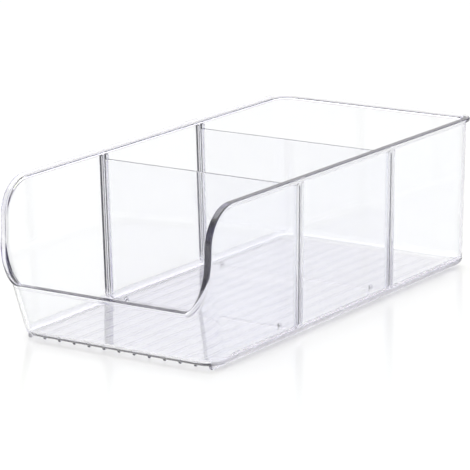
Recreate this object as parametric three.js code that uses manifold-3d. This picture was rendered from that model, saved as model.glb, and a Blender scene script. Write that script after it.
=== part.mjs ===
// Clear food storage bin: one moulded tub with a low scooped front, and two
// lift-out dividers that stand in ribs on the side walls.
// Millimetres, +Z up, front towards -Y, origin under the middle of the bin.
import * as THREE from 'three';
import { LoftGeometry } from 'three/addons/geometries/LoftGeometry.js';
import { mergeGeometries, mergeVertices } from 'three/addons/utils/BufferGeometryUtils.js';
import Module from 'manifold-3d';

// Tub: overall sizes
const rimLength = 306.6;
const rimWidth = 151.4;
const binHeight = 97.7;
const frontHeight = 37;

// Tub: walls and floor
const wallThickness = 2.4;
const floorThickness = 2.6;
const footHeight = 1.5;
const sideDraft = 2.1;
const rearDraft = 1.6;
const frontLean = THREE.MathUtils.degToRad( 19.6 );
const rearCornerRadius = 10.4;
const frontCornerRadius = 11;
const floorFillet = 4.6;
const bottomFillet = 5.4;
const bottomRiseFront = 2.4;
const frontRiseShare = 0.35;

// Tub: the lip that runs round the whole opening, flush inside. Its underside
// slopes down from the outer edge to the wall.
const lipOverhang = 2.1;
const lipEdgeHeight = 2.1;
const lipSlopeDrop = 0.9;
const lipInnerRound = 1.5;
const lipOuterRound = 1;
const lipUnderRound = 0.7;
const lipRootFillet = 0.7;

// Tub: the scoop, from the top of the side walls down to the low front
const scoopRadius = 23;
const scoopSetback = 5.5;
const scoopTopHandleShare = 0.4;
const scoopFootHandleShare = 0.28;
const scoopFanRun = 14;

// Guide ribs on the side walls, one pair at each end of a divider
const dividerPitch = 103;
const dividerMiddleY = 0.6;
const guideThickness = 1.8;
const guideReach = 2.5;
const guideTipRound = 0.5;
const guideTopGap = 3;

// Ribs and side rails under the floor
const undersideRibCount = 11;
const undersideRibHeight = 1.2;
const undersideRibWidth = 2;
const railInset = 4.93;
const railWidth = 2.5;
const ribTaper = 0.3;
const ribRearMargin = 11.2;

// Upright tabs on the floor that the dividers straddle
const tabThickness = 1.1;
const tabLength = 5;
const tabHeight = 2.6;
const tabInset = 13.6;

// Dividers
const dividerThickness = 2;
const dividerTop = 92.2;
const dividerCornerRadius = 1.5;
const dividerEdgeRound = 0.35;

// Clearances
const dividerFaceClearance = 0.5;
const dividerEndClearance = 0.4;
const dividerFloorClearance = 0.3;
const tabSideClearance = 0.5;
const tabTopClearance = 0.4;

// How finely curves are divided
const scoopCornerSteps = 12;
const scoopTopSteps = 8;
const rearCornerSteps = 8;
const filletSteps = 4;
const lipRoundSteps = 2;
const wallSteps = 3;

// Colours from the photograph: clear plastic that greys slightly where it is thick
const clearPlastic = { roughness: 0.06, metalness: 0, transparent: true };
const tubMaterial = new THREE.MeshStandardMaterial( { ...clearPlastic, color: 0xe9ebf1, opacity: 0.35 } );
const dividerMaterial = new THREE.MeshStandardMaterial( { ...clearPlastic, color: 0xeef0f4, opacity: 0.3 } );

const floorTop = footHeight + floorThickness;
const lipOuter = wallThickness + lipOverhang;
const lipDepth = lipEdgeHeight + lipSlopeDrop + lipRootFillet;
const slotWidth = dividerThickness + 2 * dividerFaceClearance;
const quarterTurn = Math.PI / 2;

const wasm = await Module();
wasm.setup();

// Inner face of the walls at height z. Draft narrows the tub towards the floor,
// and the front wall leans out as it rises.
const innerHalfWidth = z => rimWidth / 2 - lipOuter - sideDraft * ( 1 - z / binHeight );
const innerRear = z => rimLength / 2 - lipOuter - rearDraft * ( 1 - z / binHeight );
const innerFront = z => rimLength / 2 - lipOuter - ( frontHeight - lipOuterRound - z ) * Math.tan( frontLean );

// Where the front corner's bend begins on the side wall
const frontBendY = z => frontCornerRadius - innerFront( z );

// Length of the front corner's bend along the middle of the lip
const bendRun = ( frontCornerRadius + lipOuter / 2 ) * quarterTurn;

// A point on the right half of the front or side wall. run is the distance
// along the wall behind the start of the bend, negative round the bend, and out
// is how far outwards from the inner face.
function sidePoint( run, z, out ) {

	const turn = Math.min( run, 0 ) / bendRun * quarterTurn;
	const radius = frontCornerRadius + out;
	return new THREE.Vector3(
		innerHalfWidth( z ) - frontCornerRadius + radius * Math.cos( turn ),
		frontBendY( z ) + radius * Math.sin( turn ) + Math.max( run, 0 ),
		z
	);

}

// A point on the rear right corner, turn 0 on the side wall
function rearPoint( turn, z, out ) {

	const radius = rearCornerRadius + out;
	return new THREE.Vector3(
		innerHalfWidth( z ) - rearCornerRadius + radius * Math.cos( turn ),
		innerRear( z ) - rearCornerRadius + radius * Math.sin( turn ),
		z
	);

}

// The edge of the opening on the right half, as (run, z): level along the low
// front, up the bend and the scoop, and over the scoop's round top.
function openingPath() {

	const scoopY = scoopSetback - rimLength / 2;
	const roundStartZ = binHeight - scoopRadius;
	const foot = new THREE.Vector2( - bendRun, frontHeight );
	const top = new THREE.Vector2( scoopY - frontBendY( roundStartZ ), roundStartZ );
	const rise = top.y - foot.y;
	const footHandle = new THREE.Vector2( foot.x + bendRun * scoopFootHandleShare, foot.y );
	const topHandle = new THREE.Vector2(
		top.x - rise * scoopTopHandleShare * Math.tan( frontLean ),
		top.y - rise * scoopTopHandleShare
	);
	const path = new THREE.CubicBezierCurve( foot, footHandle, topHandle, top ).getPoints( scoopCornerSteps );
	for ( let i = 1; i <= scoopTopSteps; i ++ ) {

		const angle = quarterTurn * i / scoopTopSteps;
		const y = scoopY + scoopRadius * ( 1 - Math.cos( angle ) );
		const z = roundStartZ + scoopRadius * Math.sin( angle );
		path.push( new THREE.Vector2( y - frontBendY( z ), z ) );

	}

	return path;

}

// Stations round the right half of the tub, from the front to the rear. Each
// gives a point at a depth below the opening's edge, or on the floor line, and
// how high the rounded bottom edge rises there: less at the front.
function makeStations() {

	const path = openingPath();
	const last = path.length - 1;
	const front = path.map( ( rim, i ) => {

		const ahead = path[ Math.min( i + 1, last ) ];
		const behind = path[ Math.max( i - 1, 0 ) ];
		const along = i === 0 || i === last
			? new THREE.Vector2( 1, 0 )
			: new THREE.Vector2().subVectors( ahead, behind ).normalize();
		const floorRun = THREE.MathUtils.lerp( - bendRun, scoopFanRun, i / last );
		const sideShare = THREE.MathUtils.smoothstep( i / last, frontRiseShare, 1 );
		return {
			bottomRise: THREE.MathUtils.lerp( bottomRiseFront, bottomFillet, sideShare ),
			atDepth: depth => [ rim.x + depth * along.y, rim.y - depth * along.x ],
			atFloor: z => [ floorRun, z ],
			place: ( [ run, z ], out ) => sidePoint( run, z, out )
		};

	} );
	const rear = Array.from( { length: rearCornerSteps + 1 }, ( _, i ) => ( {
		bottomRise: bottomFillet,
		atDepth: depth => [ 0, binHeight - depth ],
		atFloor: z => [ 0, z ],
		place: ( [ , z ], out ) => rearPoint( quarterTurn * i / rearCornerSteps, z, out )
	} ) );
	return [ ...front, ...rear ];

}

// A closed ring round the tub, clockwise from above, from one row of the right
// half and its mirror image.
function ring( stations, row ) {

	const right = stations.map( row );
	const left = right.map( p => new THREE.Vector3( - p.x, p.y, p.z ) );
	return [ ...left, ...right.reverse() ];

}

// Rows of a rounded edge between the floor and the foot of the walls, from the
// floor up. rise gives its height at a station.
function filletRows( stations, z, reach, rise, out ) {

	return Array.from( { length: filletSteps + 1 }, ( _, i ) => {

		const angle = quarterTurn * i / filletSteps;
		const inset = reach * ( 1 - Math.sin( angle ) );
		return ring( stations, s => {

			const height = z + rise( s ) * ( 1 - Math.cos( angle ) );
			return s.place( s.atFloor( height ), out - inset );

		} );

	} );

}

// Rows between the top of that edge and the lip, from below up
function wallRows( stations, z, rise, out ) {

	return Array.from( { length: wallSteps }, ( _, i ) => {

		const share = ( i + 1 ) / ( wallSteps + 1 );
		return ring( stations, s => {

			const low = s.atFloor( z + rise( s ) );
			const high = s.atDepth( lipDepth );
			return s.place( low.map( ( value, k ) => THREE.MathUtils.lerp( value, high[ k ], share ) ), out );

		} );

	} );

}

// Points of an open path whose corners are rounded. Each corner gives its place
// and how far from it the rounding reaches.
function roundedPath( start, corners, end ) {

	const places = [ start, ...corners.map( ( [ place ] ) => place ), end ].map( p => new THREE.Vector2( ...p ) );
	const rounds = corners.flatMap( ( [ , reach ], i ) => {

		const corner = places[ i + 1 ];
		const from = places[ i ].clone().sub( corner ).setLength( reach ).add( corner );
		const to = places[ i + 2 ].clone().sub( corner ).setLength( reach ).add( corner );
		return new THREE.QuadraticBezierCurve( from, corner, to ).getPoints( lipRoundSteps );

	} );
	return [ places[ 0 ], ...rounds, places[ places.length - 1 ] ];

}

// The lip's rows, from the inner face over the top to the root on the outside.
// Its section is given as depth below the opening's edge and distance outwards.
function lipRows( stations ) {

	const corners = [
		[ [ 0, 0 ], lipInnerRound ],
		[ [ 0, lipOuter ], lipOuterRound ],
		[ [ lipEdgeHeight, lipOuter ], lipUnderRound ],
		[ [ lipEdgeHeight + lipSlopeDrop, wallThickness ], lipRootFillet ]
	];
	const section = roundedPath( [ lipDepth, 0 ], corners, [ lipDepth + lipRootFillet, wallThickness ] );
	return section.map( p => ring( stations, s => s.place( s.atDepth( p.x ), p.y ) ) );

}

// The tub's skin as one loft: up the inside, over the lip and down the outside
function tubShell() {

	const stations = makeStations();
	const floorRise = () => floorFillet;
	const bottomRise = s => s.bottomRise;
	const inside = [
		...filletRows( stations, floorTop, floorFillet, floorRise, 0 ),
		...wallRows( stations, floorTop, floorRise, 0 )
	];
	const outside = [
		...filletRows( stations, footHeight, bottomFillet, bottomRise, wallThickness ),
		...wallRows( stations, footHeight, bottomRise, wallThickness )
	];
	const skin = new LoftGeometry( [ ...inside, ...lipRows( stations ), ...outside.reverse() ], { capEnd: true } );
	const outline = inside[ 0 ].map( p => new THREE.Vector2( p.x, p.y ) );
	const floor = new THREE.ShapeGeometry( new THREE.Shape( outline ) );
	floor.translate( 0, 0, floorTop );
	return solid( mergeGeometries( [ bare( skin ), bare( floor ) ] ) );

}

// A guide rib: a bar that follows the wall's draft, from inside the floor's fillet
// to just below the opening's edge. Each level gives a height and how far
// the bar reaches into the wall there, less where the bottom corner is rounded off.
function guideRib( side, y ) {

	const levels = [
		[ footHeight + floorThickness / 2, - bottomFillet / 3 ],
		[ floorTop + floorFillet, wallThickness / 2 ],
		[ binHeight - guideTopGap, wallThickness / 2 ]
	];
	const sections = levels.map( ( [ z, reach ] ) => {

		const wall = innerHalfWidth( z );
		const half = guideThickness / 2;
		const tip = wall - guideReach;
		const points = [
			[ wall + reach, y - half ],
			[ wall + reach, y + half ],
			[ tip + guideTipRound, y + half ],
			[ tip, y + half - guideTipRound ],
			[ tip, y - half + guideTipRound ],
			[ tip + guideTipRound, y - half ]
		].map( ( [ px, py ] ) => new THREE.Vector3( side * px, py, z ) );
		return side > 0 ? points : points.reverse();

	} );
	return solid( new LoftGeometry( sections, { capStart: true, capEnd: true } ) );

}

// A rib or rail along the underside: a tapered section carried from front to rear
function undersideRib( x, width, height ) {

	const front = innerFront( footHeight ) + wallThickness - bottomFillet;
	const rear = innerRear( footHeight ) - ribRearMargin;
	const section = new THREE.Shape( [
		new THREE.Vector2( - width / 2, floorThickness / 2 ),
		new THREE.Vector2( - width / 2 + ribTaper, - height ),
		new THREE.Vector2( width / 2 - ribTaper, - height ),
		new THREE.Vector2( width / 2, floorThickness / 2 )
	] );
	const rib = new THREE.ExtrudeGeometry( section, { depth: front + rear, bevelEnabled: false } );
	rib.rotateX( quarterTurn );
	rib.translate( x, rear, footHeight );
	return solid( rib );

}

// A low upright tab standing on the floor, its top rounded off at both ends
function floorTab( x, y ) {

	const half = tabLength / 2;
	const outline = new THREE.Shape();
	outline.moveTo( - half, - floorThickness / 2 );
	outline.lineTo( half, - floorThickness / 2 );
	outline.lineTo( half, 0 );
	outline.quadraticCurveTo( half, tabHeight, 0, tabHeight );
	outline.quadraticCurveTo( - half, tabHeight, - half, 0 );
	const tab = new THREE.ExtrudeGeometry( outline, {
		depth: tabThickness,
		bevelEnabled: false,
		curveSegments: filletSteps
	} );
	tab.translate( 0, 0, - tabThickness / 2 );
	tab.rotateX( quarterTurn );
	tab.rotateZ( quarterTurn );
	tab.translate( x, y, floorTop );
	return solid( tab );

}

function dividerPlaces() {

	return [ dividerMiddleY - dividerPitch / 2, dividerMiddleY + dividerPitch / 2 ];

}

// The tub with its guide ribs, floor tabs, underside ribs and side rails
function tub() {

	const railX = innerHalfWidth( footHeight ) + wallThickness - railInset - railWidth / 2;
	const tabX = innerHalfWidth( floorTop ) - tabInset;
	const pitch = railX * 2 / ( undersideRibCount + 1 );
	const guideOffset = ( slotWidth + guideThickness ) / 2;
	let body = tubShell();
	for ( const side of [ - 1, 1 ] ) {

		for ( const y of dividerPlaces() ) {

			body = body.add( guideRib( side, y - guideOffset ) );
			body = body.add( guideRib( side, y + guideOffset ) );
			body = body.add( floorTab( side * tabX, y ) );

		}

		body = body.add( undersideRib( side * railX, railWidth, footHeight ) );

	}

	for ( let i = 1; i <= undersideRibCount; i ++ ) {

		body = body.add( undersideRib( i * pitch - railX, undersideRibWidth, undersideRibHeight ) );

	}

	return geometryOf( body );

}

// A divider panel: its ends follow the draft of the side walls, and two round
// headed notches in its foot pass over the floor tabs.
function divider( y ) {

	const bottom = floorTop + dividerFloorClearance;
	const halfWidth = z => innerHalfWidth( z ) - dividerEndClearance;
	const tabX = innerHalfWidth( floorTop ) - tabInset;
	const notchHalf = tabThickness / 2 + tabSideClearance;
	const notchTop = floorTop + tabHeight + tabTopClearance;
	const footCorner = floorFillet + dividerFloorClearance;
	const outline = new THREE.Shape();
	outline.moveTo( - halfWidth( bottom ) + footCorner, bottom );
	for ( const side of [ - 1, 1 ] ) {

		const middle = side * tabX;
		outline.lineTo( middle - notchHalf, bottom );
		outline.absarc( middle, notchTop - notchHalf, notchHalf, Math.PI, 0, true );
		outline.lineTo( middle + notchHalf, bottom );

	}

	outline.lineTo( halfWidth( bottom ) - footCorner, bottom );
	outline.quadraticCurveTo( halfWidth( bottom ), bottom, halfWidth( bottom + footCorner ), bottom + footCorner );
	roundCorner( outline, halfWidth( dividerTop ), dividerTop, 1 );
	roundCorner( outline, - halfWidth( dividerTop ), dividerTop, - 1 );
	outline.lineTo( - halfWidth( bottom + footCorner ), bottom + footCorner );
	outline.quadraticCurveTo( - halfWidth( bottom ), bottom, - halfWidth( bottom ) + footCorner, bottom );
	const panel = new THREE.ExtrudeGeometry( outline, {
		depth: dividerThickness - 2 * dividerEdgeRound,
		bevelSize: dividerEdgeRound,
		bevelThickness: dividerEdgeRound,
		bevelOffset: - dividerEdgeRound,
		bevelSegments: 1,
		curveSegments: filletSteps
	} );
	panel.rotateX( quarterTurn );
	panel.translate( 0, y + dividerThickness / 2 - dividerEdgeRound, 0 );
	return geometryOf( solid( panel ) );

}

// Adds a rounded top corner to a panel's outline, right (side 1) or left (side -1)
function roundCorner( outline, x, z, side ) {

	const inset = x - side * dividerCornerRadius;
	if ( side > 0 ) {

		outline.lineTo( x, z - dividerCornerRadius );
		outline.quadraticCurveTo( x, z, inset, z );

	} else {

		outline.lineTo( inset, z );
		outline.quadraticCurveTo( x, z, x, z - dividerCornerRadius );

	}

}

// Position alone, so that vertices can be shared
function bare( geometry ) {

	const plain = geometry.index ? geometry.toNonIndexed() : geometry.clone();
	plain.deleteAttribute( 'normal' );
	plain.deleteAttribute( 'uv' );
	return plain;

}

// A closed mesh as a solid that can be joined and cut
function solid( geometry ) {

	const merged = mergeVertices( bare( geometry ) );
	return new wasm.Manifold( new wasm.Mesh( {
		numProp: 3,
		vertProperties: merged.attributes.position.array,
		triVerts: Uint32Array.from( merged.index.array )
	} ) );

}

// A solid's vertices and triangles as a geometry
function geometryOf( body ) {

	const mesh = body.getMesh();
	const geometry = new THREE.BufferGeometry();
	geometry.setAttribute( 'position', new THREE.BufferAttribute( mesh.vertProperties, mesh.numProp ) );
	geometry.setIndex( new THREE.BufferAttribute( mesh.triVerts, 1 ) );
	geometry.computeVertexNormals();
	return geometry;

}

function part( name, geometry, material ) {

	const mesh = new THREE.Mesh( geometry, material );
	mesh.name = name;
	return mesh;

}

const [ frontDividerY, rearDividerY ] = dividerPlaces();
const bin = new THREE.Group();
bin.add( part( 'bin', tub(), tubMaterial ) );
bin.add( part( 'divider_front', divider( frontDividerY ), dividerMaterial ) );
bin.add( part( 'divider_rear', divider( rearDividerY ), dividerMaterial ) );

export default bin;
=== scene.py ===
"""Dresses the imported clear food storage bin: tub, dividers, floor, light and camera."""

import math

import bpy
import numpy as np
from mathutils import Matrix, Vector


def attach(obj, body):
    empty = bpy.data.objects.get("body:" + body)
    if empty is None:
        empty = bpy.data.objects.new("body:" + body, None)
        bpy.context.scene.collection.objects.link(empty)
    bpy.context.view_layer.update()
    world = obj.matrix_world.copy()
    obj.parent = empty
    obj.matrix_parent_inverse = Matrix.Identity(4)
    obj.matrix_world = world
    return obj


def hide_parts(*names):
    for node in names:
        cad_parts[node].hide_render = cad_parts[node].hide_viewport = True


bl_info = {
    "name": "Clear food storage bin",
    "version": (1, 0, 0),
    "blender": (4, 5, 0),
    "location": "3D View > Sidebar > Storage Bin",
    "description": "Makes a clear moulded storage bin with two lift-out dividers",
    "category": "Mesh",
}

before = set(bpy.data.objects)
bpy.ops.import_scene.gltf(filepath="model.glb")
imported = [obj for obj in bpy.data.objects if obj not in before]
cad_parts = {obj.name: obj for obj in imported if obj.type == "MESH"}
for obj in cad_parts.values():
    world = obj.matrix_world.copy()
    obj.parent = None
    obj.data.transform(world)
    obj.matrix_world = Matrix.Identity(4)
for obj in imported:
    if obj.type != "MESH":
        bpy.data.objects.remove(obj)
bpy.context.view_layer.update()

MM = 0.001
QUARTER = math.pi / 2

# Handles of the scoop's curve: the foot's as a share of the corner's bend, the top's as a share of
# the curve's rise.
FOOT_HANDLE = 0.28
TOP_HANDLE = 0.4

# The front corner turns from the front wall's bottom edge to the side wall's past this share of the
# scoop's stations.
CORNER_START = 0.35

# Plain stations on the straight side wall: gaps to its front and rear ends, and places along it.
FRONT_GAP = 8 * MM
REAR_GAP = 6 * MM
PLAIN_PLACES = (-80 * MM, 0.0, 80 * MM)

# Rows of the walls, as shares of the way from the bottom edge to the lip.
WALL_ROWS = (0.04, 0.2, 0.4, 0.6, 0.8, 0.96)

# A guide rib's root: spread of its fillet as shares of the half thickness, and its share of the reach.
GUIDE_SPREAD = (1.3, 1.12)
GUIDE_ROOT = 0.06

# A guide rib's rounded upper end, from below: distance under its top and share of its reach.
GUIDE_END = ((0.5 * MM, 1.0), (0.2 * MM, 0.85), (0.0, 0.5), (-0.06 * MM, 0.0))

# Rounding of a floor rib's edges as a share of its height or half width, whichever is smaller.
RIB_ROUND = 0.6

# How much of a floor tab's outline its rounded faces take off.
TAB_ROUND = 0.45

# The side and front edges start this many times the bottom edge's reach inside the wall's outer face.
EDGE_SPAN = 1.2

# The stretch of the noise that makes marks, and the roughness at its ends as shares of the mean.
MARK_RANGE = (0.35, 0.75)
GLOSS_RANGE = (0.4, 2.2)

# A mitred corner of a panel reaches out at most by one over this.
MITRE_LIMIT = 0.5

# Width of the camera's sensor in millimetres.
SENSOR = 36

# Creases sharper than these stay sharp.
TUB_CREASE = math.radians(38)
PANEL_CREASE = math.radians(50)

# The dim room round the stage, as a colour.
ROOM = (0.06, 0.045, 0.07)

# The soft boxes: azimuth and elevation of the middle, width, height and soft edge in degrees, and
# the light's colour. Azimuth 0 is behind the bin, 90 is to its right, 146 is the camera's side.
SOFT_BOXES = (
    (0, 70, 360, 40, 8, (1.18, 1.22, 0.98)),
    (305, 50, 110, 44, 10, (2.35, 2.3, 2.75)),
    (22, 39, 50, 22, 8, (0.95, 0.95, 0.9)),
    (157, 39, 136, 22, 8, (0.05, 0.05, 0.3)),
    (326, 18, 22, 20, 4, (0.95, 0.95, 0.94)),
    (326, 4, 30, 8, 4, (0.55, 0.53, 0.52)),
    (45, 20, 46, 16, 5, (1.35, 1.38, 1.5)),
    (112, 14, 90, 28, 6, (0.3, 0.26, 0.8)),
    (168, 14, 22, 28, 5, (0.9, 0.85, 1.4)),
    (213, 17, 22, 20, 5, (0.24, 0.26, 0.52)),
    (0, 20, 44, 16, 5, (0.28, 0.24, 0.44)),
    (300, 6, 18, 12, 5, (0.57, 0.56, 0.66)),
)


class BinSizes(bpy.types.PropertyGroup):
    """Sizes of the moulded tub."""

    rim_length: bpy.props.FloatProperty(
        name="Rim length", description="Front to rear over the lip", default=306.6 * MM, unit="LENGTH"
    )
    rim_width: bpy.props.FloatProperty(
        name="Rim width", description="Side to side over the lip", default=151.4 * MM, unit="LENGTH"
    )
    height: bpy.props.FloatProperty(
        name="Height", description="From the table to the top of the lip",
        default=97.7 * MM, unit="LENGTH"
    )
    front_height: bpy.props.FloatProperty(
        name="Front height", description="From the table to the top of the low front",
        default=37 * MM, unit="LENGTH"
    )
    wall: bpy.props.FloatProperty(
        name="Wall", description="Thickness of the walls", default=2.4 * MM, unit="LENGTH"
    )
    floor: bpy.props.FloatProperty(
        name="Floor", description="Thickness of the floor", default=2.6 * MM, unit="LENGTH"
    )
    foot: bpy.props.FloatProperty(
        name="Foot", description="Height of the side rails under the floor",
        default=1.5 * MM, unit="LENGTH"
    )
    side_draft: bpy.props.FloatProperty(
        name="Side draft", description="How far each side comes in from lip to table",
        default=2.1 * MM, unit="LENGTH"
    )
    rear_draft: bpy.props.FloatProperty(
        name="Rear draft", description="How far the rear comes in from lip to table",
        default=1.6 * MM, unit="LENGTH"
    )
    front_lean: bpy.props.FloatProperty(
        name="Front lean", description="How far the front wall leans out",
        default=math.radians(19.6), subtype="ANGLE"
    )
    rear_corner: bpy.props.FloatProperty(
        name="Rear corner", description="Inner radius of the rear corners",
        default=10.4 * MM, unit="LENGTH"
    )
    front_corner: bpy.props.FloatProperty(
        name="Front corner", description="Inner radius of the front corners",
        default=11 * MM, unit="LENGTH"
    )
    floor_fillet: bpy.props.FloatProperty(
        name="Floor fillet", description="Radius where the floor meets the walls inside",
        default=4.2 * MM, unit="LENGTH"
    )
    bottom_fillet: bpy.props.FloatProperty(
        name="Bottom fillet", description="How far the rounded bottom edge reaches in",
        default=4.1 * MM, unit="LENGTH"
    )
    front_fillet: bpy.props.FloatProperty(
        name="Front floor fillet", description="Radius where the floor meets the front wall inside",
        default=2.3 * MM, unit="LENGTH"
    )
    bottom_reach: bpy.props.FloatProperty(
        name="Front bottom reach", description="How far the rounded bottom edge reaches in at the front",
        default=4 * MM, unit="LENGTH"
    )
    bottom_rise: bpy.props.FloatProperty(
        name="Front bottom rise", description="How high the rounded bottom edge rises at the front",
        default=3.2 * MM, unit="LENGTH"
    )
    lip_overhang: bpy.props.FloatProperty(
        name="Lip overhang", description="How far the lip stands out of the wall",
        default=2.1 * MM, unit="LENGTH"
    )
    lip_edge: bpy.props.FloatProperty(
        name="Lip edge", description="Height of the lip's outer edge", default=2.1 * MM, unit="LENGTH"
    )
    lip_drop: bpy.props.FloatProperty(
        name="Lip drop", description="How far the underside slopes down towards the wall",
        default=0.9 * MM, unit="LENGTH"
    )
    lip_inner_round: bpy.props.FloatProperty(
        name="Lip inner round", description="Rounding of the lip's inner edge",
        default=0.7 * MM, unit="LENGTH"
    )
    lip_outer_round: bpy.props.FloatProperty(
        name="Lip outer round", description="Rounding of the lip's outer edge",
        default=1.0 * MM, unit="LENGTH"
    )
    lip_under_round: bpy.props.FloatProperty(
        name="Lip under round", description="Rounding of the lip's lower edge",
        default=0.7 * MM, unit="LENGTH"
    )
    lip_root: bpy.props.FloatProperty(
        name="Lip root", description="Fillet between the lip and the wall",
        default=0.7 * MM, unit="LENGTH"
    )
    scoop_radius: bpy.props.FloatProperty(
        name="Scoop radius", description="Round top of the scooped sides",
        default=23 * MM, unit="LENGTH"
    )
    scoop_setback: bpy.props.FloatProperty(
        name="Scoop setback", description="Scoop's foremost point behind the front",
        default=5.5 * MM, unit="LENGTH"
    )
    scoop_fan: bpy.props.FloatProperty(
        name="Scoop fan", description="How far back the scoop's lines spread on the floor",
        default=14 * MM, unit="LENGTH"
    )
    divider_pitch: bpy.props.FloatProperty(
        name="Divider pitch", description="Distance between the dividers",
        default=103 * MM, unit="LENGTH"
    )
    divider_middle: bpy.props.FloatProperty(
        name="Divider middle", description="Middle between the dividers",
        default=0.6 * MM, unit="LENGTH"
    )
    guide_thickness: bpy.props.FloatProperty(
        name="Guide thickness", description="Thickness of a guide rib", default=2.3 * MM, unit="LENGTH"
    )
    guide_reach: bpy.props.FloatProperty(
        name="Guide reach", description="How far a guide rib stands out of the wall",
        default=2.5 * MM, unit="LENGTH"
    )
    guide_power: bpy.props.FloatProperty(
        name="Guide power", description="Power of a guide rib's superellipse", default=2.4
    )
    guide_top: bpy.props.FloatProperty(
        name="Guide top", description="Gap between a guide's top and the opening's edge",
        default=3 * MM, unit="LENGTH"
    )
    slot: bpy.props.FloatProperty(
        name="Slot", description="Gap between two guide ribs", default=2.7 * MM, unit="LENGTH"
    )
    rib_count: bpy.props.IntProperty(
        name="Ribs", description="Ribs under the floor between the rails", default=11
    )
    rib_height: bpy.props.FloatProperty(
        name="Rib height", description="Height of a rib under the floor",
        default=1.2 * MM, unit="LENGTH"
    )
    rib_width: bpy.props.FloatProperty(
        name="Rib width", description="Width of a rib under the floor", default=2 * MM, unit="LENGTH"
    )
    rib_start: bpy.props.FloatProperty(
        name="Rib start", description="From the front wall's foot to the ribs' front ends",
        default=3.4 * MM, unit="LENGTH"
    )
    rib_stop: bpy.props.FloatProperty(
        name="Rib stop", description="From the rear wall's foot to the ribs' rear ends",
        default=11.2 * MM, unit="LENGTH"
    )
    rib_head: bpy.props.FloatProperty(
        name="Rib head", description="Length of the rounding at a rib's front end",
        default=0.3 * MM, unit="LENGTH"
    )
    rail_inset: bpy.props.FloatProperty(
        name="Rail inset", description="From the side's outer face to the rail",
        default=4.93 * MM, unit="LENGTH"
    )
    rail_width: bpy.props.FloatProperty(
        name="Rail width", description="Width of a side rail", default=2.5 * MM, unit="LENGTH"
    )
    tab_inset: bpy.props.FloatProperty(
        name="Tab inset", description="From the side's inner face to a floor tab",
        default=13.6 * MM, unit="LENGTH"
    )
    tab_thickness: bpy.props.FloatProperty(
        name="Tab thickness", description="Thickness of a floor tab", default=1.1 * MM, unit="LENGTH"
    )
    tab_length: bpy.props.FloatProperty(
        name="Tab length", description="Length of a floor tab", default=4 * MM, unit="LENGTH"
    )
    tab_height: bpy.props.FloatProperty(
        name="Tab height", description="Height of a floor tab", default=1.1 * MM, unit="LENGTH"
    )


class DividerSizes(bpy.types.PropertyGroup):
    """Sizes of the two lift-out dividers."""

    thickness: bpy.props.FloatProperty(
        name="Thickness", description="Thickness of the panel", default=2 * MM, unit="LENGTH"
    )
    top: bpy.props.FloatProperty(
        name="Top", description="Height of the panel's top edge over the table",
        default=92.2 * MM, unit="LENGTH"
    )
    corner: bpy.props.FloatProperty(
        name="Corner", description="Radius of the top corners", default=1.5 * MM, unit="LENGTH"
    )
    edge: bpy.props.FloatProperty(
        name="Edge", description="Radius of the panel's edges", default=0.35 * MM, unit="LENGTH"
    )
    end_gap: bpy.props.FloatProperty(
        name="End gap", description="Clearance to the side walls", default=0.4 * MM, unit="LENGTH"
    )
    floor_gap: bpy.props.FloatProperty(
        name="Floor gap", description="Clearance to the floor", default=0.3 * MM, unit="LENGTH"
    )
    notch_side: bpy.props.FloatProperty(
        name="Notch side gap", description="Clearance beside a floor tab",
        default=0.5 * MM, unit="LENGTH"
    )
    notch_top: bpy.props.FloatProperty(
        name="Notch top gap", description="Clearance over a floor tab", default=1.3 * MM, unit="LENGTH"
    )


class PlasticFinish(bpy.types.PropertyGroup):
    """Colour and gloss of the clear plastic."""

    tint: bpy.props.FloatVectorProperty(
        name="Tint", description="Colour that each pass through a face leaves",
        size=3, default=(0.985, 0.989, 0.995), subtype="COLOR"
    )
    divider_tint: bpy.props.FloatVectorProperty(
        name="Divider tint", description="The same for the dividers",
        size=3, default=(0.985, 0.987, 0.995), subtype="COLOR"
    )
    depth_colour: bpy.props.FloatVectorProperty(
        name="Depth colour", description="Colour that long paths inside the plastic turn to",
        size=3, default=(0.62, 0.60, 0.72), subtype="COLOR"
    )
    depth_density: bpy.props.FloatProperty(
        name="Depth density", description="How fast the depth colour builds up, per metre", default=0.7
    )
    bend: bpy.props.FloatProperty(
        name="Refraction", description="Index of refraction", default=1.57
    )
    scatter: bpy.props.FloatProperty(
        name="Scatter", description="Share of light that the surface scatters", default=0.025
    )
    soft_pass: bpy.props.FloatVectorProperty(
        name="Soft light", description="Share of soft light that each face lets through",
        size=3, default=(0.95, 0.945, 0.955), subtype="COLOR"
    )
    mark_scale: bpy.props.FloatProperty(
        name="Mark scale", description="Scale of the fine marks in the gloss", default=420
    )
    flow_scale: bpy.props.FloatProperty(
        name="Flow scale", description="Scale of the faint waves in the surface", default=26
    )
    flow_strength: bpy.props.FloatProperty(
        name="Flow strength", description="Strength of the faint waves", default=0.12
    )
    flow_depth: bpy.props.FloatProperty(
        name="Flow depth", description="Depth of the faint waves", default=0.4 * MM, unit="LENGTH"
    )
    roughness: bpy.props.FloatProperty(
        name="Roughness", description="Mean roughness of the polished faces", default=0.02
    )
    scuff: bpy.props.FloatProperty(
        name="Scuff", description="Roughness that rubbing on shelves has given the lower side edges",
        default=0.5
    )
    scuff_height: bpy.props.FloatProperty(
        name="Scuff height", description="How high the scuffs reach", default=6.5 * MM, unit="LENGTH"
    )
    edge_shade: bpy.props.FloatProperty(
        name="Edge shade", description="Share of soft light that the lower edges keep from the table",
        default=0.28
    )
    front_shade: bpy.props.FloatProperty(
        name="Front shade", description="The front edge's part of that shading", default=0.3
    )
    shade_height: bpy.props.FloatProperty(
        name="Shade height", description="How high the shading edges reach",
        default=18 * MM, unit="LENGTH"
    )


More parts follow.
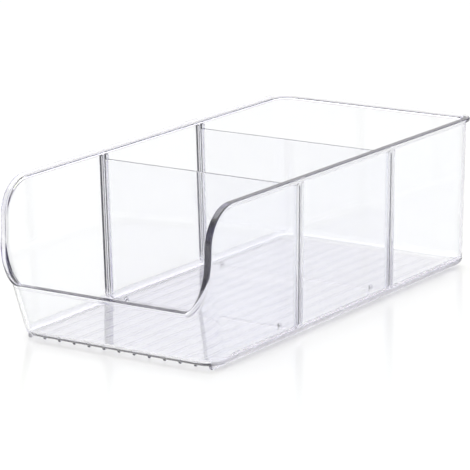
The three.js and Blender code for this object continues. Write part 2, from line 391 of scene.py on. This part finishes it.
class StageSettings(bpy.types.PropertyGroup):
    """Floor, light and camera."""

    floor_colour: bpy.props.FloatVectorProperty(
        name="Floor colour", description="Colour of the table",
        size=3, default=(0.94, 0.96, 0.86), subtype="COLOR"
    )
    floor_bend: bpy.props.FloatProperty(
        name="Floor refraction", description="Index of refraction of the table's polish", default=1.45
    )
    floor_smooth: bpy.props.FloatProperty(
        name="Floor smoothest", description="Least roughness of the table", default=0.16
    )
    floor_rough: bpy.props.FloatProperty(
        name="Floor roughest", description="Most roughness of the table", default=0.22
    )
    cloud_scale: bpy.props.FloatProperty(
        name="Cloud scale", description="Scale of the clouds in the table's gloss", default=30
    )
    floor_size: bpy.props.FloatProperty(
        name="Floor size", description="Half width of the table", default=8.0, unit="LENGTH"
    )
    lens: bpy.props.FloatProperty(
        name="Lens", description="Focal length in millimetres", default=234.24
    )
    yaw: bpy.props.FloatProperty(
        name="Yaw", description="Camera's turn round the bin", default=0.598812, subtype="ANGLE"
    )
    pitch: bpy.props.FloatProperty(
        name="Pitch", description="Camera's tilt down", default=0.244614, subtype="ANGLE"
    )
    roll: bpy.props.FloatProperty(
        name="Roll", description="Camera's roll", default=-0.0144775, subtype="ANGLE"
    )
    distance: bpy.props.FloatProperty(
        name="Distance", description="Camera to target", default=1.871865, unit="LENGTH"
    )
    target: bpy.props.FloatVectorProperty(
        name="Target", description="Point that the camera looks at",
        size=3, default=(0.0, -0.0133, 0.04498), unit="LENGTH"
    )


def inner_half_width(b, z):
    """Half the width between the side walls at height z: it narrows evenly towards the table."""
    return b.rim_width / 2 - b.wall - b.lip_overhang - b.side_draft * (1 - z / b.height)


def inner_rear(b, z):
    """Distance from the middle to the rear wall's inner face at height z."""
    return b.rim_length / 2 - b.wall - b.lip_overhang - b.rear_draft * (1 - z / b.height)


def inner_front(b, z):
    """Distance from the middle to the leaning front wall's inner face at height z."""
    back = (b.front_height - b.lip_outer_round - z) * math.tan(b.front_lean)
    return b.rim_length / 2 - b.wall - b.lip_overhang - back


def front_bend_y(b, z):
    """Where the front corner's bend begins on the side wall at height z."""
    return b.front_corner - inner_front(b, z)


def lip_depth(b):
    """How far the lip reaches below the opening's edge, with its root fillet."""
    return b.lip_edge + b.lip_drop + b.lip_root


def bend_run(b):
    """Length of the front corner's bend along the middle of the lip."""
    return (b.front_corner + (b.wall + b.lip_overhang) / 2) * QUARTER


def opening_edge(b, curve_steps=56, top_steps=30):
    """The opening's edge on the right half as arrays run and z. A cubic Bezier climbs from the low
    front to the scoop's foremost point, then a quarter circle leads over its top. run is the distance
    along the wall behind the start of the corner's bend."""
    scoop_y = b.scoop_setback - b.rim_length / 2
    start_z = b.height - b.scoop_radius
    foot = np.array([-bend_run(b), b.front_height])
    top = np.array([scoop_y - front_bend_y(b, start_z), start_z])
    rise = top[1] - foot[1]
    foot_handle = foot + np.array([bend_run(b) * FOOT_HANDLE, 0])
    top_handle = top - rise * TOP_HANDLE * np.array([math.tan(b.front_lean), 1])
    t = np.linspace(0, 1, curve_steps + 1)[:, None]
    s = 1 - t
    curve = s**3 * foot + 3 * s**2 * t * foot_handle + 3 * s * t**2 * top_handle + t**3 * top
    angle = np.linspace(0, QUARTER, top_steps + 1)[1:]
    z = start_z + b.scoop_radius * np.sin(angle)
    y = scoop_y + b.scoop_radius * (1 - np.cos(angle))
    return np.concatenate([curve[:, 0], y - front_bend_y(b, z)]), np.concatenate([curve[:, 1], z])


def guide_profile(b):
    """A guide rib's section as offsets along the wall and how far it stands out: half a superellipse
    on a small fillet at each root. The higher its power, the squarer the rib."""
    half, reach = b.guide_thickness / 2, b.guide_reach
    angle = np.linspace(0, QUARTER, 9)
    across = np.cos(angle[:-1]) ** (2 / b.guide_power)
    out = GUIDE_ROOT + (1 - GUIDE_ROOT) * np.sin(angle) ** (2 / b.guide_power)
    offset = np.concatenate([GUIDE_SPREAD, across, [0]]) * half
    height = np.concatenate([[0, GUIDE_ROOT / 3], out]) * reach
    return np.concatenate([-offset, offset[-2::-1]]), np.concatenate([height, height[-2::-1]])


def divider_places(b):
    """The y of the front and rear divider."""
    return b.divider_middle - b.divider_pitch / 2, b.divider_middle + b.divider_pitch / 2


def side_stations(b):
    """Upright stations on the straight side wall as arrays y and guide reach."""
    offset, reach = guide_profile(b)
    shift = (b.slot + b.guide_thickness) / 2
    places = [middle + side * shift for middle in divider_places(b) for side in (-1, 1)]
    y = np.concatenate([place + offset for place in places])
    stand = np.concatenate([reach for _ in places])
    front_end = front_bend_y(b, b.foot) + b.scoop_fan
    rear_end = inner_rear(b, 0) - b.rear_corner
    plain = np.array([front_end + FRONT_GAP, *PLAIN_PLACES, rear_end - REAR_GAP])
    y = np.concatenate([y, plain])
    stand = np.concatenate([stand, np.zeros(len(plain))])
    order = np.argsort(y)
    return y[order], stand[order]


def fillet_levels(steps=9):
    """Shares of the rise and of the reach along a quarter circle, for a rounded edge between the floor
    and the walls."""
    angle = np.linspace(0, QUARTER, steps)
    return zip(1 - np.cos(angle), 1 - np.sin(angle))


def rounded(corners, radii, steps):
    """Points of an open path whose corners are rounded by quadratic curves of the given reach."""
    corners = np.array(corners, float)
    points = [corners[0]]
    for before, here, after, radius in zip(corners[:-2], corners[1:-1], corners[2:], radii):
        a = here + (before - here) / np.linalg.norm(before - here) * radius
        c = here + (after - here) / np.linalg.norm(after - here) * radius
        t = np.linspace(0, 1, steps)[:, None]
        points.extend((1 - t) ** 2 * a + 2 * (1 - t) * t * here + t**2 * c)
    points.append(corners[-1])
    return np.array(points)


def lip_section(b):
    """The lip's section as depth below the opening's edge and distance outwards, from the inner face
    over the top to the outer face. Each corner is rounded."""
    outer = b.wall + b.lip_overhang
    deep = lip_depth(b)
    corners = [
        [deep, 0],
        [0, 0],
        [0, outer],
        [b.lip_edge, outer],
        [b.lip_edge + b.lip_drop, b.wall],
        [deep + b.lip_root, b.wall],
    ]
    reaches = [b.lip_inner_round, b.lip_outer_round, b.lip_under_round, b.lip_root]
    return rounded(corners, reaches, 8)


def tub_grid(b):
    """The tub's skin as a grid of rows by stations on the right half. Front stations follow the
    scoop's edge and fan out on the floor, side stations are upright, rear stations turn the corner.
    The rows run from the floor's top up the inner wall, over the lip and down the outer wall to the
    floor's underside. A wall's rows lie evenly between its rounded bottom edge and the lip's root."""
    run, edge_z = opening_edge(b)
    along = np.stack([np.gradient(run), np.gradient(edge_z)], 1)
    along /= np.linalg.norm(along, axis=1)[:, None]
    along[0] = along[-1] = (1, 0)
    share = np.linspace(0, 1, len(run))
    floor_run = -bend_run(b) * (1 - share) + b.scoop_fan * share
    y, stand = side_stations(b)
    turn = np.linspace(0, QUARTER, 17)
    sideways = np.clip((share - CORNER_START) / (1 - CORNER_START), 0, 1)
    sideways = sideways**2 * (3 - 2 * sideways)
    front_rise = b.bottom_rise + (b.bottom_fillet - b.bottom_rise) * sideways
    front_reach = b.bottom_reach + (b.bottom_fillet - b.bottom_reach) * sideways
    bottom_reach = np.concatenate([front_reach, np.full(len(y) + len(turn), b.bottom_fillet)])

    def placed(front_run, front_z, level_z, out):
        """One row: x, y and z of every station."""
        bend = np.minimum(front_run, 0) / bend_run(b) * QUARTER
        o = out[: len(run)]
        radius = b.front_corner + o
        front = np.stack([
            inner_half_width(b, front_z) - b.front_corner + radius * np.cos(bend),
            front_bend_y(b, front_z) + radius * np.sin(bend) + np.maximum(front_run, 0),
            front_z,
        ], 1)
        o = out[len(run): len(run) + len(y)]
        side = np.stack([inner_half_width(b, level_z) + o, y, np.full(len(y), level_z)], 1)
        radius = b.rear_corner + out[len(run) + len(y):]
        rear = np.stack([
            inner_half_width(b, level_z) - b.rear_corner + radius * np.cos(turn),
            inner_rear(b, level_z) - b.rear_corner + radius * np.sin(turn),
            np.full(len(turn), level_z),
        ], 1)
        return np.concatenate([front, side, rear])

    count = len(run) + len(y) + len(turn)
    reach = np.concatenate([np.zeros(len(run)), stand, np.zeros(len(turn))])
    rows = []

    def wall_row(front_low, side_low, amount, out):
        """A row between the rounded edge's top and the lip's root."""
        deep = lip_depth(b)
        front_run = floor_run * (1 - amount) + (run + deep * along[:, 1]) * amount
        front_z = front_low * (1 - amount) + (edge_z - deep * along[:, 0]) * amount
        level = side_low * (1 - amount) + (b.height - deep) * amount
        return placed(front_run, front_z, level, out)

    floor_top = b.foot + b.floor
    fillet = b.front_fillet + (b.floor_fillet - b.front_fillet) * sideways
    floor_reach = np.concatenate([fillet, np.full(len(y) + len(turn), b.floor_fillet)])
    for rise, inset in fillet_levels():
        out = -np.maximum(floor_reach * inset, reach)
        rows.append(placed(floor_run, floor_top + fillet * rise, floor_top + b.floor_fillet * rise, out))
    for amount in WALL_ROWS:
        rows.append(wall_row(floor_top + fillet, floor_top + b.floor_fillet, amount, -reach))
    section = [(b.guide_top + below, -reach * part) for below, part in GUIDE_END]
    section += [(depth, np.full(count, out)) for depth, out in lip_section(b)[1:]]
    for depth, out in section:
        rows.append(placed(run + depth * along[:, 1], edge_z - depth * along[:, 0], b.height - depth, out))
    outside = np.full(count, b.wall)
    for amount in WALL_ROWS[::-1]:
        rows.append(wall_row(b.foot + front_rise, b.foot + b.bottom_fillet, amount, outside))
    for rise, inset in list(fillet_levels())[::-1]:
        out = b.wall - bottom_reach * inset
        rows.append(placed(floor_run, b.foot + front_rise * rise, b.foot + b.bottom_fillet * rise, out))
    return np.array(rows)


def mesh_object(name, points, faces):
    """A mesh object at the origin from points and faces."""
    mesh = bpy.data.meshes.new(name)
    mesh.from_pydata(np.asarray(points).reshape(-1, 3).tolist(), [], faces)
    mesh.validate()
    mesh.update()
    made = bpy.data.objects.new(name, mesh)
    bpy.context.scene.collection.objects.link(made)
    return made


def ring_faces(rows, columns):
    """Quads between the rows of a grid whose columns close on themselves."""
    i, j = np.meshgrid(np.arange(rows - 1), np.arange(columns), indexing="ij")
    k = (j + 1) % columns
    here, above = i * columns, (i + 1) * columns
    return np.stack([here + j, here + k, above + k, above + j], -1).reshape(-1, 4).tolist()


def ladder_faces(columns, first, flip):
    """Quads across a level cap: station k on the left joins station k on the right."""
    half = columns // 2
    k = np.arange(half - 1)
    quads = np.stack([k, k + 1, columns - 2 - k, columns - 1 - k], -1) + first
    return (quads[:, ::-1] if flip else quads).tolist()


def tub_skin(b):
    """The tub as one closed surface: the right half's grid and its mirror image, with a level cap
    for the floor's top and one for its underside."""
    right = tub_grid(b)
    left = right * np.array([-1, 1, 1])
    rings = np.concatenate([left, right[:, ::-1]], 1)
    rows, columns = rings.shape[:2]
    faces = ring_faces(rows, columns)
    faces += ladder_faces(columns, 0, True)
    faces += ladder_faces(columns, (rows - 1) * columns, False)
    return mesh_object("tub", rings, faces)


def bar(name, section, stations):
    """A closed bar: a section in x and z carried along y. Each station gives y and a share by which
    the section's depth is drawn in, so that the ends round off."""
    section = np.array(section, float)
    top = section[:, 1].max()
    rings = np.array([
        np.stack([section[:, 0], np.full(len(section), y), top + (section[:, 1] - top) * share], 1)
        for y, share in stations
    ])
    rows, columns = rings.shape[:2]
    faces = ring_faces(rows, columns)
    faces.append(list(range(columns))[::-1])
    faces.append([(rows - 1) * columns + k for k in range(columns)])
    return mesh_object(name, rings, faces)


def join(target, tools):
    """Joins closed meshes to a closed mesh, so that no face is left inside."""
    for tool in tools:
        union = target.modifiers.new("join", "BOOLEAN")
        union.operation = "UNION"
        union.solver = "MANIFOLD"
        union.object = tool
    bpy.context.view_layer.update()
    graph = bpy.context.evaluated_depsgraph_get()
    merged = bpy.data.meshes.new_from_object(target.evaluated_get(graph))
    target.modifiers.clear()
    old = target.data
    target.data = merged
    bpy.data.meshes.remove(old)
    for tool in tools:
        mesh = tool.data
        bpy.data.objects.remove(tool)
        bpy.data.meshes.remove(mesh)


def finish_shading(piece, crease):
    """Smooth shading that keeps broad faces flat and creases sharp."""
    piece.data.shade_smooth()
    piece.data.set_sharp_from_angle(angle=crease)
    weigh = piece.modifiers.new("flat faces stay flat", "WEIGHTED_NORMAL")
    weigh.keep_sharp = True
    weigh.weight = 100


def rib_section(width, height, root):
    """A rib's section with quarter round edges, as x and z about its middle and the floor's underside."""
    half = width / 2
    t = np.linspace(0, QUARTER, 6)
    r = min(height, half) * RIB_ROUND
    right = np.stack([half - r + r * np.cos(t), -height + r - r * np.sin(t)], 1)
    left = right[::-1] * np.array([-1, 1])
    return np.concatenate([[[half, root]], right, left, [[-half, root]]])


def floor_tab(b):
    """A small upright tab: a half round plate whose outline shrinks towards both flat faces along a
    quarter of an ellipse, so that its edges are round."""
    around = np.linspace(0, math.pi, 17)
    across = np.sin(np.linspace(-QUARTER, QUARTER, 9))
    half = b.tab_length / 2
    rings = []
    for side in across:
        share = 1 - TAB_ROUND * (1 - math.sqrt(max(1 - side**2, 0)))
        arch = np.stack([half * share * np.cos(around), b.tab_height * share * np.sin(around)], 1)
        foot = [[-half * share, -b.floor / 2], [half * share, -b.floor / 2]]
        section = np.concatenate([arch, foot])
        x = np.full(len(section), side * b.tab_thickness / 2)
        rings.append(np.stack([x, section[:, 0], section[:, 1]], 1))
    n = len(rings[0])
    faces = ring_faces(len(rings), n)
    faces.append(list(range(n))[::-1])
    faces.append([(len(rings) - 1) * n + k for k in range(n)])
    return mesh_object("tab", np.array(rings), faces)


def maths(tree, operation, *values):
    """The output of a Math node whose inputs are numbers or other outputs."""
    node = tree.nodes.new("ShaderNodeMath")
    node.operation = operation
    for k, value in enumerate(values):
        if isinstance(value, (int, float)):
            node.inputs[k].default_value = value
        else:
            tree.links.new(value, node.inputs[k])
    return node.outputs[0]


def noise(tree, vector, scale, detail):
    """The factor of a Noise Texture on Object coordinates."""
    node = tree.nodes.new("ShaderNodeTexNoise")
    node.inputs["Scale"].default_value = scale
    node.inputs["Detail"].default_value = detail
    tree.links.new(vector, node.inputs["Vector"])
    return node.outputs["Fac"]


def spread(tree, value, low, high, least=0, most=1, kind="LINEAR"):
    """A value between low and high spread between least and most, and held there beyond them."""
    node = tree.nodes.new("ShaderNodeMapRange")
    node.interpolation_type = kind
    for name, number in (("From Min", low), ("From Max", high), ("To Min", least), ("To Max", most)):
        node.inputs[name].default_value = number
    tree.links.new(value, node.inputs["Value"])
    return node.outputs["Result"]


def ramp_up(tree, value, edge, soft):
    """Zero below an edge and one above it, with a smooth step that reaches so far to each side."""
    return spread(tree, value, edge - soft, edge + soft, kind="SMOOTHSTEP")


def fade(tree, value, middle, extent, soft):
    """One where an angle lies within half the extent of its middle, falling smoothly to zero over the
    soft edge."""
    away = maths(tree, "WRAP", maths(tree, "SUBTRACT", value, middle), math.pi, -math.pi)
    apart = maths(tree, "ABSOLUTE", away)
    return spread(tree, apart, (extent - soft) / 2, (extent + soft) / 2, 1, 0, "SMOOTHSTEP")


def mixed(tree, factor, first, second):
    """The output of a Mix Shader."""
    node = tree.nodes.new("ShaderNodeMixShader")
    tree.links.new(factor, node.inputs["Fac"])
    tree.links.new(first, node.inputs[1])
    tree.links.new(second, node.inputs[2])
    return node.outputs["Shader"]


def clear_plastic(name, tint, f, edges=None):
    """Clear moulded plastic: it bends light, greys with depth, scatters a trace of light at its
    surface, and shows faint flow waves and fine handling marks in its gloss. Soft light goes straight
    through it, so that the table under it stays pale. edges gives the distances from the middle past
    which the sides are rubbed rough near the table, and past which the sides and the front shade the
    table."""
    material = bpy.data.materials.new(name)
    material.use_nodes = True
    tree = material.node_tree
    nodes, links = tree.nodes, tree.links
    nodes.clear()
    out = nodes.new("ShaderNodeOutputMaterial")
    body = nodes.new("ShaderNodeBsdfPrincipled")
    body.inputs["Base Color"].default_value = (*tint, 1)
    body.inputs["Transmission Weight"].default_value = 1 - f.scatter
    body.inputs["IOR"].default_value = f.bend
    clear = nodes.new("ShaderNodeBsdfTransparent")
    clear.inputs["Color"].default_value = (*f.soft_pass, 1)
    where = nodes.new("ShaderNodeTexCoord")
    marks = noise(tree, where.outputs["Object"], f.mark_scale, detail=3)
    rough = spread(tree, marks, *MARK_RANGE, *[f.roughness * share for share in GLOSS_RANGE])
    if edges:
        side_edge, front_edge = edges
        place = nodes.new("ShaderNodeSeparateXYZ")
        links.new(where.outputs["Object"], place.inputs["Vector"])
        beside = maths(tree, "ABSOLUTE", place.outputs["X"])
        ahead = maths(tree, "MULTIPLY", place.outputs["Y"], -1.0)
        depth = maths(tree, "MULTIPLY", place.outputs["Z"], -1.0)
        side = ramp_up(tree, beside, side_edge, MM)
        front = ramp_up(tree, ahead, front_edge, MM)
        rubbed = maths(tree, "MULTIPLY", side, ramp_up(tree, depth, -f.scuff_height, MM))
        worn = maths(tree, "MULTIPLY", rubbed, maths(tree, "MULTIPLY", marks, 2 * f.scuff))
        rough = maths(tree, "ADD", rough, worn)
        shading = maths(tree, "MAXIMUM", side, maths(tree, "MULTIPLY", front, f.front_shade))
        shade = nodes.new("ShaderNodeMix")
        shade.data_type = "RGBA"
        shade.inputs["A"].default_value = (*f.soft_pass, 1)
        shade.inputs["B"].default_value = (*[v * (1 - f.edge_shade) for v in f.soft_pass], 1)
        low = ramp_up(tree, depth, -f.shade_height / 2, f.shade_height / 2)
        links.new(maths(tree, "MULTIPLY", shading, low), shade.inputs["Factor"])
        links.new(shade.outputs["Result"], clear.inputs["Color"])
    links.new(rough, body.inputs["Roughness"])
    bump = nodes.new("ShaderNodeBump")
    bump.inputs["Strength"].default_value = f.flow_strength
    bump.inputs["Distance"].default_value = f.flow_depth
    links.new(noise(tree, where.outputs["Object"], f.flow_scale, detail=1.5), bump.inputs["Height"])
    links.new(bump.outputs["Normal"], body.inputs["Normal"])
    path = nodes.new("ShaderNodeLightPath")
    bounce = mixed(tree, path.outputs["Is Diffuse Ray"], body.outputs["BSDF"], clear.outputs["BSDF"])
    shown = mixed(tree, path.outputs["Is Shadow Ray"], bounce, clear.outputs["BSDF"])
    links.new(shown, out.inputs["Surface"])
    inside = nodes.new("ShaderNodeVolumeAbsorption")
    inside.inputs["Color"].default_value = (*f.depth_colour, 1)
    inside.inputs["Density"].default_value = f.depth_density
    links.new(inside.outputs["Volume"], out.inputs["Volume"])
    return material


class STORAGEBIN_OT_tub(bpy.types.Operator):
    """Makes the moulded tub with its lip, guide ribs, floor tabs and the ribs under its floor"""

    bl_idname = "storage_bin.tub"
    bl_label = "Tub"

    def execute(self, context):
        b = context.scene.storage_bin_sizes
        f = context.scene.storage_bin_finish
        tub = tub_skin(b)
        front = inner_front(b, b.foot) + b.wall - b.rib_start
        rear = inner_rear(b, b.foot) - b.rib_stop
        sunk = b.floor / 2
        rail_x = inner_half_width(b, b.foot) + b.wall - b.rail_inset - b.rail_width / 2
        places = np.linspace(-rail_x, rail_x, b.rib_count + 2)
        tools = []
        for k, x in enumerate(places):
            rail = k in (0, len(places) - 1)
            width, height = (b.rail_width, b.foot) if rail else (b.rib_width, b.rib_height)
            section = rib_section(width, height, sunk)
            ease = np.linspace(0, QUARTER, 6)
            grow = sunk / (sunk + height)
            shares = grow + (1 - grow) * np.sin(ease)
            head = list(zip(-front + b.rib_head * (1 - np.cos(ease)), shares))
            tail = list(zip(rear - height * (1 - np.cos(ease)), shares))[::-1]
            rib = bar(f"rib_{k}", section, head + tail)
            rib.data.transform(Matrix.Translation((x, 0, b.foot)))
            tools.append(rib)
        tab_x = inner_half_width(b, b.foot + b.floor) - b.tab_inset
        for x in (-tab_x, tab_x):
            for y in divider_places(b):
                tab = floor_tab(b)
                tab.data.transform(Matrix.Translation((x, y, b.foot + b.floor)))
                tools.append(tab)
        for tool in [tub, *tools]:
            outwards(tool)
        join(tub, tools)
        finish_shading(tub, TUB_CREASE)
        edges = (
            inner_half_width(b, 0) + b.wall - EDGE_SPAN * b.bottom_fillet,
            inner_front(b, 0) + b.wall - EDGE_SPAN * b.bottom_reach,
        )
        tub.data.materials.clear()
        tub.data.materials.append(clear_plastic("clear tub plastic", f.tint, f, edges))
        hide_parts("bin")
        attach(tub, "bin")
        return {"FINISHED"}


def outwards(piece):
    """Turns a closed mesh's faces outwards: its signed volume has to be positive."""
    mesh = piece.data
    mesh.calc_loop_triangles()
    corners = np.zeros(len(mesh.loop_triangles) * 3, np.int32)
    mesh.loop_triangles.foreach_get("vertices", corners)
    places = np.zeros(len(mesh.vertices) * 3)
    mesh.vertices.foreach_get("co", places)
    a, b, c = places.reshape(-1, 3)[corners.reshape(-1, 3)].transpose(1, 0, 2)
    if np.einsum("ij,ij->i", a, np.cross(b, c)).sum() < 0:
        mesh.flip_normals()


def divider_outline(b, d):
    """The divider's outline as x and z, anticlockwise seen from the front: ends that follow the side
    walls' draft, rounded corners, and two round headed notches over the floor tabs."""

    def half(z):
        """Half the panel's width at height z."""
        return inner_half_width(b, z) - d.end_gap

    bottom = b.foot + b.floor + d.floor_gap
    notch = b.tab_thickness / 2 + d.notch_side
    head = b.foot + b.floor + b.tab_height + d.notch_top - notch
    tab_x = inner_half_width(b, b.foot + b.floor) - b.tab_inset
    foot = b.floor_fillet + d.floor_gap
    t = np.linspace(math.pi, 0, 17)
    right = [[tab_x - notch, bottom]]
    right += [[tab_x + notch * math.cos(a), head + notch * math.sin(a)] for a in t]
    right += [[tab_x + notch, bottom]]
    corner = rounded(
        [[tab_x + notch, bottom], [half(bottom), bottom], [half(d.top), d.top], [0, d.top]],
        [foot, d.corner], 9,
    )
    right += corner[1:-1].tolist()
    right = np.array(right)
    left = right[::-1] * np.array([-1, 1])
    return np.concatenate([right, left])


def divider_panel(name, b, d, y):
    """A flat panel: its outline carried through the thickness, drawn in along a quarter round at each
    face."""
    outline = divider_outline(b, d)
    ahead, behind = np.roll(outline, -1, 0), np.roll(outline, 1, 0)
    a = outline - behind
    c = ahead - outline
    a /= np.linalg.norm(a, axis=1)[:, None]
    c /= np.linalg.norm(c, axis=1)[:, None]
    inwards = np.stack([-(a + c)[:, 1], (a + c)[:, 0]], 1)
    inwards /= np.linalg.norm(inwards, axis=1)[:, None]
    inwards /= np.maximum((inwards * np.stack([-a[:, 1], a[:, 0]], 1)).sum(1), MITRE_LIMIT)[:, None]
    angle = np.linspace(0, QUARTER, 5)
    depth = d.thickness / 2 - d.edge * (1 - np.sin(angle))
    inset = d.edge * (1 - np.cos(angle))
    depths = np.concatenate([-depth[::-1], depth])
    insets = np.concatenate([inset[::-1], inset])
    rings = np.array([
        np.stack([p[:, 0], np.full(len(p), y + k), p[:, 1]], 1)
        for k, p in ((k, outline + inwards * i) for k, i in zip(depths, insets))
    ])
    n = len(outline)
    faces = ring_faces(len(rings), n)
    faces.append(list(range(n))[::-1])
    faces.append([(len(rings) - 1) * n + k for k in range(n)])
    panel = mesh_object(name, rings, faces)
    outwards(panel)
    return panel


class STORAGEBIN_OT_dividers(bpy.types.Operator):
    """Makes the two lift-out dividers"""

    bl_idname = "storage_bin.dividers"
    bl_label = "Dividers"

    def execute(self, context):
        b = context.scene.storage_bin_sizes
        d = context.scene.storage_bin_divider
        f = context.scene.storage_bin_finish
        plastic = clear_plastic("clear divider plastic", f.divider_tint, f)
        for name, y in zip(("divider_front", "divider_rear"), divider_places(b)):
            panel = divider_panel(f"{name}_panel", b, d, y)
            finish_shading(panel, PANEL_CREASE)
            panel.data.materials.append(plastic)
            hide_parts(name)
            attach(panel, name)
        return {"FINISHED"}


def pale_table(s):
    """A pale polished table: it mirrors faintly, and more at a low angle, with clouds in its gloss."""
    material = bpy.data.materials.new("pale table")
    material.use_nodes = True
    tree = material.node_tree
    nodes, links = tree.nodes, tree.links
    body = nodes["Principled BSDF"]
    body.inputs["Base Color"].default_value = (*s.floor_colour, 1)
    body.inputs["IOR"].default_value = s.floor_bend
    where = nodes.new("ShaderNodeTexCoord")
    cloud = noise(tree, where.outputs["Object"], s.cloud_scale, detail=2)
    links.new(spread(tree, cloud, 0, 1, s.floor_smooth, s.floor_rough), body.inputs["Roughness"])
    return material


def studio_world(scene, room, boxes):
    """A dim room with soft boxes round the bin and over it. Each box lights a stretch of directions
    given by azimuth and elevation, with soft edges. What the camera sees directly is white."""
    world = bpy.data.worlds.new("studio")
    world.use_nodes = True
    scene.world = world
    tree = world.node_tree
    nodes, links = tree.nodes, tree.links
    nodes.clear()
    out = nodes.new("ShaderNodeOutputWorld")
    where = nodes.new("ShaderNodeTexCoord")
    split = nodes.new("ShaderNodeSeparateXYZ")
    links.new(where.outputs["Generated"], split.inputs["Vector"])
    azimuth = maths(tree, "ARCTAN2", split.outputs["X"], split.outputs["Y"])
    elevation = maths(tree, "ARCSINE", split.outputs["Z"])
    total = None
    for middle, height, wide, high, soft, colour in boxes:
        across = fade(tree, azimuth, math.radians(middle), math.radians(wide), math.radians(soft))
        upright = fade(tree, elevation, math.radians(height), math.radians(high), math.radians(soft))
        lit = nodes.new("ShaderNodeVectorMath")
        lit.operation = "MULTIPLY_ADD"
        links.new(maths(tree, "MULTIPLY", across, upright), lit.inputs[0])
        lit.inputs[1].default_value = colour
        if total is None:
            lit.inputs[2].default_value = room
        else:
            links.new(total, lit.inputs[2])
        total = lit.outputs["Vector"]
    studio = nodes.new("ShaderNodeBackground")
    links.new(total, studio.inputs["Color"])
    white = nodes.new("ShaderNodeBackground")
    white.inputs["Color"].default_value = (1, 1, 1, 1)
    path = nodes.new("ShaderNodeLightPath")
    seen = path.outputs["Is Camera Ray"]
    shown = mixed(tree, seen, studio.outputs["Background"], white.outputs["Background"])
    links.new(shown, out.inputs["Surface"])


class STORAGEBIN_OT_stage(bpy.types.Operator):
    """Makes the table, the soft light and the camera"""

    bl_idname = "storage_bin.stage"
    bl_label = "Stage"

    def execute(self, context):
        scene = context.scene
        s = scene.storage_bin_stage
        scene.view_settings.view_transform = "Standard"
        # Light passes many faces of clear plastic one after another.
        scene.cycles.max_bounces = 32
        scene.cycles.transmission_bounces = 32
        scene.cycles.transparent_max_bounces = 16
        half = s.floor_size
        # Points along each side of the table.
        n = 9
        u = np.linspace(-half, half, n)
        x, y = np.meshgrid(u, u, indexing="ij")
        i, j = np.meshgrid(np.arange(n - 1), np.arange(n - 1), indexing="ij")
        corners = [i * n + j, (i + 1) * n + j, (i + 1) * n + j + 1, i * n + j + 1]
        quads = np.stack(corners, -1).reshape(-1, 4).tolist()
        table = mesh_object("table", np.stack([x, y, np.zeros_like(x)], -1), quads)
        table.data.materials.append(pale_table(s))
        studio_world(scene, ROOM, SOFT_BOXES)
        camera = bpy.data.cameras.new("camera")
        camera.lens = s.lens
        camera.sensor_width = SENSOR
        camera.clip_end = 100
        view = bpy.data.objects.new("camera", camera)
        scene.collection.objects.link(view)
        flat = math.cos(s.pitch)
        ahead = Vector((-math.sin(s.yaw) * flat, math.cos(s.yaw) * flat, -math.sin(s.pitch)))
        level = Vector((math.cos(s.yaw), math.sin(s.yaw), 0))
        up = level.cross(ahead)
        right = level * math.cos(s.roll) + up * math.sin(s.roll)
        up = right.cross(ahead)
        turn = Matrix((right, up, -ahead)).transposed().to_4x4()
        view.matrix_world = Matrix.Translation(Vector(s.target) - ahead * s.distance) @ turn
        scene.camera = view
        return {"FINISHED"}


class STORAGEBIN_PT_panel(bpy.types.Panel):
    """Lists the bin's pieces and the stage"""

    bl_label = "Storage Bin"
    bl_idname = "STORAGEBIN_PT_panel"
    bl_space_type = "VIEW_3D"
    bl_region_type = "UI"
    bl_category = "Storage Bin"

    def draw(self, context):
        for operator in (STORAGEBIN_OT_tub, STORAGEBIN_OT_dividers, STORAGEBIN_OT_stage):
            self.layout.operator(operator.bl_idname)


GROUPS = (
    ("storage_bin_sizes", BinSizes),
    ("storage_bin_divider", DividerSizes),
    ("storage_bin_finish", PlasticFinish),
    ("storage_bin_stage", StageSettings),
)
CLASSES = (STORAGEBIN_OT_tub, STORAGEBIN_OT_dividers, STORAGEBIN_OT_stage, STORAGEBIN_PT_panel)


def register():
    for name, group in GROUPS:
        bpy.utils.register_class(group)
        setattr(bpy.types.Scene, name, bpy.props.PointerProperty(type=group))
    for cls in CLASSES:
        bpy.utils.register_class(cls)


def unregister():
    for cls in reversed(CLASSES):
        bpy.utils.unregister_class(cls)
    for name, group in reversed(GROUPS):
        delattr(bpy.types.Scene, name)
        bpy.utils.unregister_class(group)


def main():
    register()
    bpy.ops.storage_bin.tub()
    bpy.ops.storage_bin.dividers()
    bpy.ops.storage_bin.stage()


if __name__ == "__main__":
    main()
